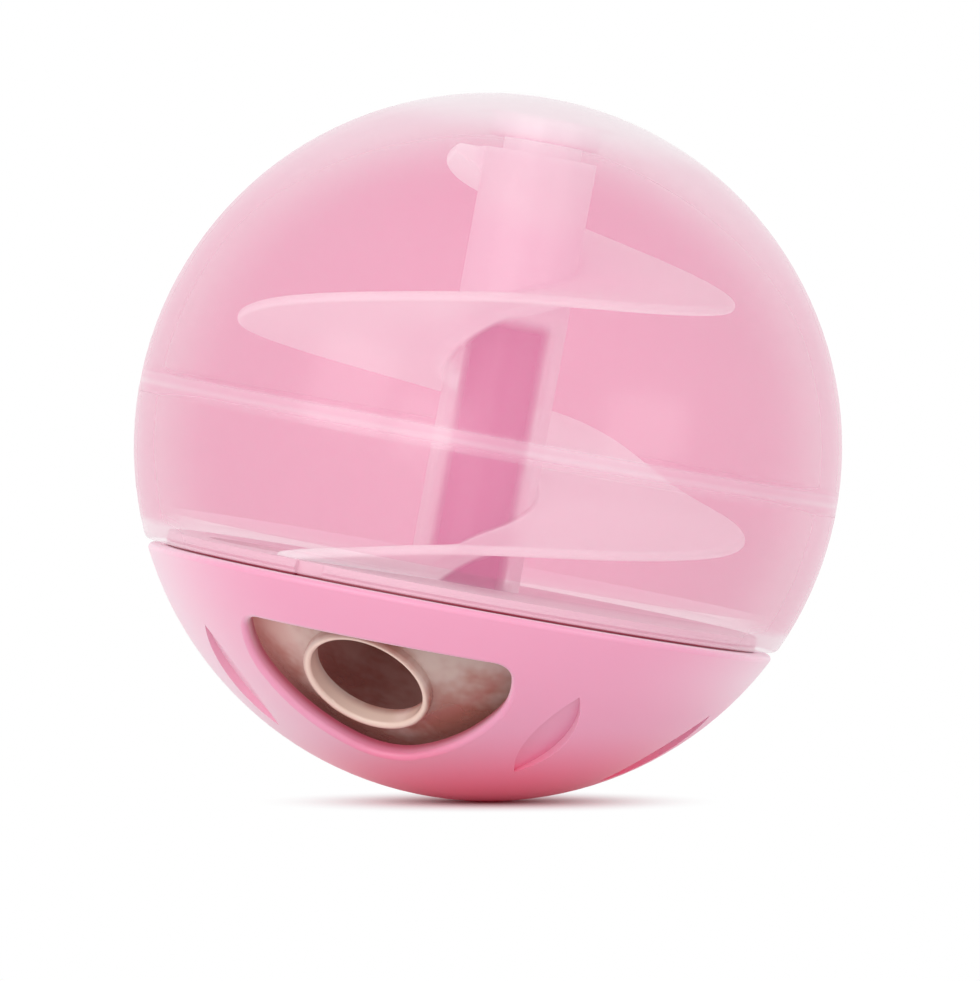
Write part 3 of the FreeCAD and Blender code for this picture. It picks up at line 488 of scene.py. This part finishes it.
# %% Pink shell
drift = pink.noise(25.0, 2.0)
# Painted sheen: the colour turns paler towards the outline.
painted_sheen = pink.facing().between(0.25, 0.95) * over_floor.between(0.001, 0.014) * painted_light_side * 0.75
pigment = pink.blend(drift * 0.1 + painted_floor_shade * 0.82, colour(238, 164, 194), colour(247, 62, 114))
pigment = pink.blend(painted_sheen, pigment, colour(250, 226, 236))
pigment = pink.blend(painted_leaf_light * (1 - painted_floor_shade) * 0.6, pigment, colour(250, 206, 222))
pigment = pink.blend(painted_window_shade * 0.8, pigment, colour(170, 42, 66))
pink_plastic = pink.plastic(
    base_color=pigment,
    roughness=0.34 + drift * 0.1,
    normal=pink.bump(pink.noise(700.0), strength=0.15, distance=0.00002),
    subsurface_weight=0.15,
    subsurface_radius=(1.0, 0.5, 0.6),
    subsurface_scale=0.0015,
    # Painted glow: a faint deep pink emission close over the floor.
    emission_color=pink.blend(painted_floor_shade, BLACK, colour(245, 60, 90)),
    emission_strength=0.04,
    coat_weight=0.15,
    coat_roughness=0.25,
)
dress(pink.end(pink_plastic), "lower_shell")

# %% [markdown]
# ## Floor and surroundings
#
# The ball is shown on white. The floor is a large disc: close to where the ball rests it is matt and
# takes the soft shadow, and further out it fades into a plain white that the camera, the gloss and the
# clear plastic all see, with no more light on the ball. A ball can rest on any side, and here it leans.
# The model stays upright, so the floor is tilted under it instead, and the camera with it.

# %% Tilted floor
FLOOR_GAP = 0.0001
floor_height = -BALL_RADIUS - FLOOR_GAP
bpy.ops.mesh.primitive_circle_add(vertices=96, radius=3.0, fill_type="NGON")
ground = bpy.context.object
ground.name = "ground"
ground.rotation_euler = (0, -LEAN, 0)
ground.location = Matrix.Rotation(-LEAN, 3, "Y") @ Vector((0, 0, floor_height))
bpy.ops.object.transform_apply(location=True, rotation=True, scale=True)
print("floor", round(math.degrees(LEAN), 1), "degrees out of level")

# %% White floor
white_floor = Finish(bpy.data.materials.new("white_floor"))
x, y, z = white_floor.place()
from_contact = length((x + floor_height * math.sin(LEAN), y))
far = from_contact.between(0.002, 0.030)
matt = white_floor.add("ShaderNodeBsdfDiffuse", sockets={"Color": colour(236, 234, 235)}).outputs["BSDF"]
plain = white_floor.add("ShaderNodeEmission", sockets={"Color": WHITE, "Strength": 1.0}).outputs["Emission"]
ground.data.materials.append(white_floor.end(white_floor.mix(white_floor.seen() * far, matt, plain)))

# %% [markdown]
# The world does the same: the camera sees plain white, and the ball is lit by a soft light from all
# round that is a little weaker, so that pale plastic keeps its form.

# %% World
AMBIENT = 0.84
studio = Finish(bpy.data.worlds.new("studio"))
room = studio.add("ShaderNodeBackground", sockets={"Color": (1.0, 0.99, 0.99, 1.0), "Strength": AMBIENT})
backdrop = studio.add("ShaderNodeBackground", sockets={"Color": WHITE, "Strength": 1.0})
either = studio.mix(studio.seen(), room.outputs["Background"], backdrop.outputs["Background"])
bpy.context.scene.world = studio.end(either, "ShaderNodeOutputWorld")

# %% [markdown]
# ## Light
#
# Product photographs of clear plastic use very large, soft lamps. One stands at the left, one at the
# right, a little lower, and a weaker one near the camera, which reaches into the window. They stand low,
# because the room lights the ramp's upper faces well enough, and a higher lamp would bleach them. Their
# light is plain, so that colours render about as they are written.

# %% Lamps
def soft_lamp(name, place, size, power):
    """A square lamp that faces the middle of the ball. Size is its side in metres, power is in watts."""
    bpy.ops.object.light_add(type="AREA", location=place)
    lamp = bpy.context.object
    lamp.name = name
    lamp.data.size = size
    lamp.data.energy = power
    lamp.rotation_euler = (-Vector(place)).to_track_quat("-Z", "Y").to_euler()
    print(name, power, "W at", round(Vector(place).length, 2), "m")


soft_lamp("key_lamp", place=(-0.75, -0.65, 0.2), size=0.5, power=2.0)
soft_lamp("fill_lamp", place=(0.75, -0.6, 0.16), size=0.5, power=2.0)
soft_lamp("front_lamp", place=(-0.3, -0.9, 0.03), size=0.4, power=1.4)

# %% [markdown]
# ## Camera
#
# The photograph was taken almost level, from far away, with the ball leaning to the right in the
# picture. The camera stands 1.2 m off with a long lens, and it is the camera that leans, so the ball can
# stand upright. A view through the ball crosses many clear faces, so a ray may pass through 32 of them.

# %% Camera
DISTANCE = 1.2
ELEVATION = math.radians(1.0)
SENSOR_WIDTH = 36.0
PICTURE_PIXELS = 980
BALL_PIXELS = 708
BALL_RIGHT_PIXELS = -2.0
BALL_UP_PIXELS = 43.5

pixel = 2 * BALL_RADIUS / BALL_PIXELS
view_width = PICTURE_PIXELS * pixel
back = Vector((0, -math.cos(ELEVATION), math.sin(ELEVATION)))
upright = (-back).to_track_quat("-Z", "Y").to_matrix().to_4x4()
turned = upright @ Matrix.Rotation(LEAN, 4, "Z")
right, up = turned.col[0].to_3d(), turned.col[1].to_3d()
aim = -(right * BALL_RIGHT_PIXELS + up * BALL_UP_PIXELS) * pixel
bpy.ops.object.camera_add()
camera = bpy.context.object
camera.matrix_world = Matrix.Translation(aim + back * DISTANCE) @ turned
camera.data.sensor_fit = "HORIZONTAL"
camera.data.sensor_width = SENSOR_WIDTH
camera.data.lens = SENSOR_WIDTH * DISTANCE / view_width
camera.data.clip_start = 0.05
bpy.context.scene.camera = camera
bpy.context.scene.view_settings.view_transform = "Standard"
bpy.context.scene.cycles.transparent_max_bounces = 32
print("lens", round(camera.data.lens), "mm")

# %% [markdown]
# ## Size
#
# The finished look must not outgrow the model, so the model's size is written down.

# %% Sizes and end
print("model", [round(v * 1000, 1) for v in model_high - model_low], "mm")
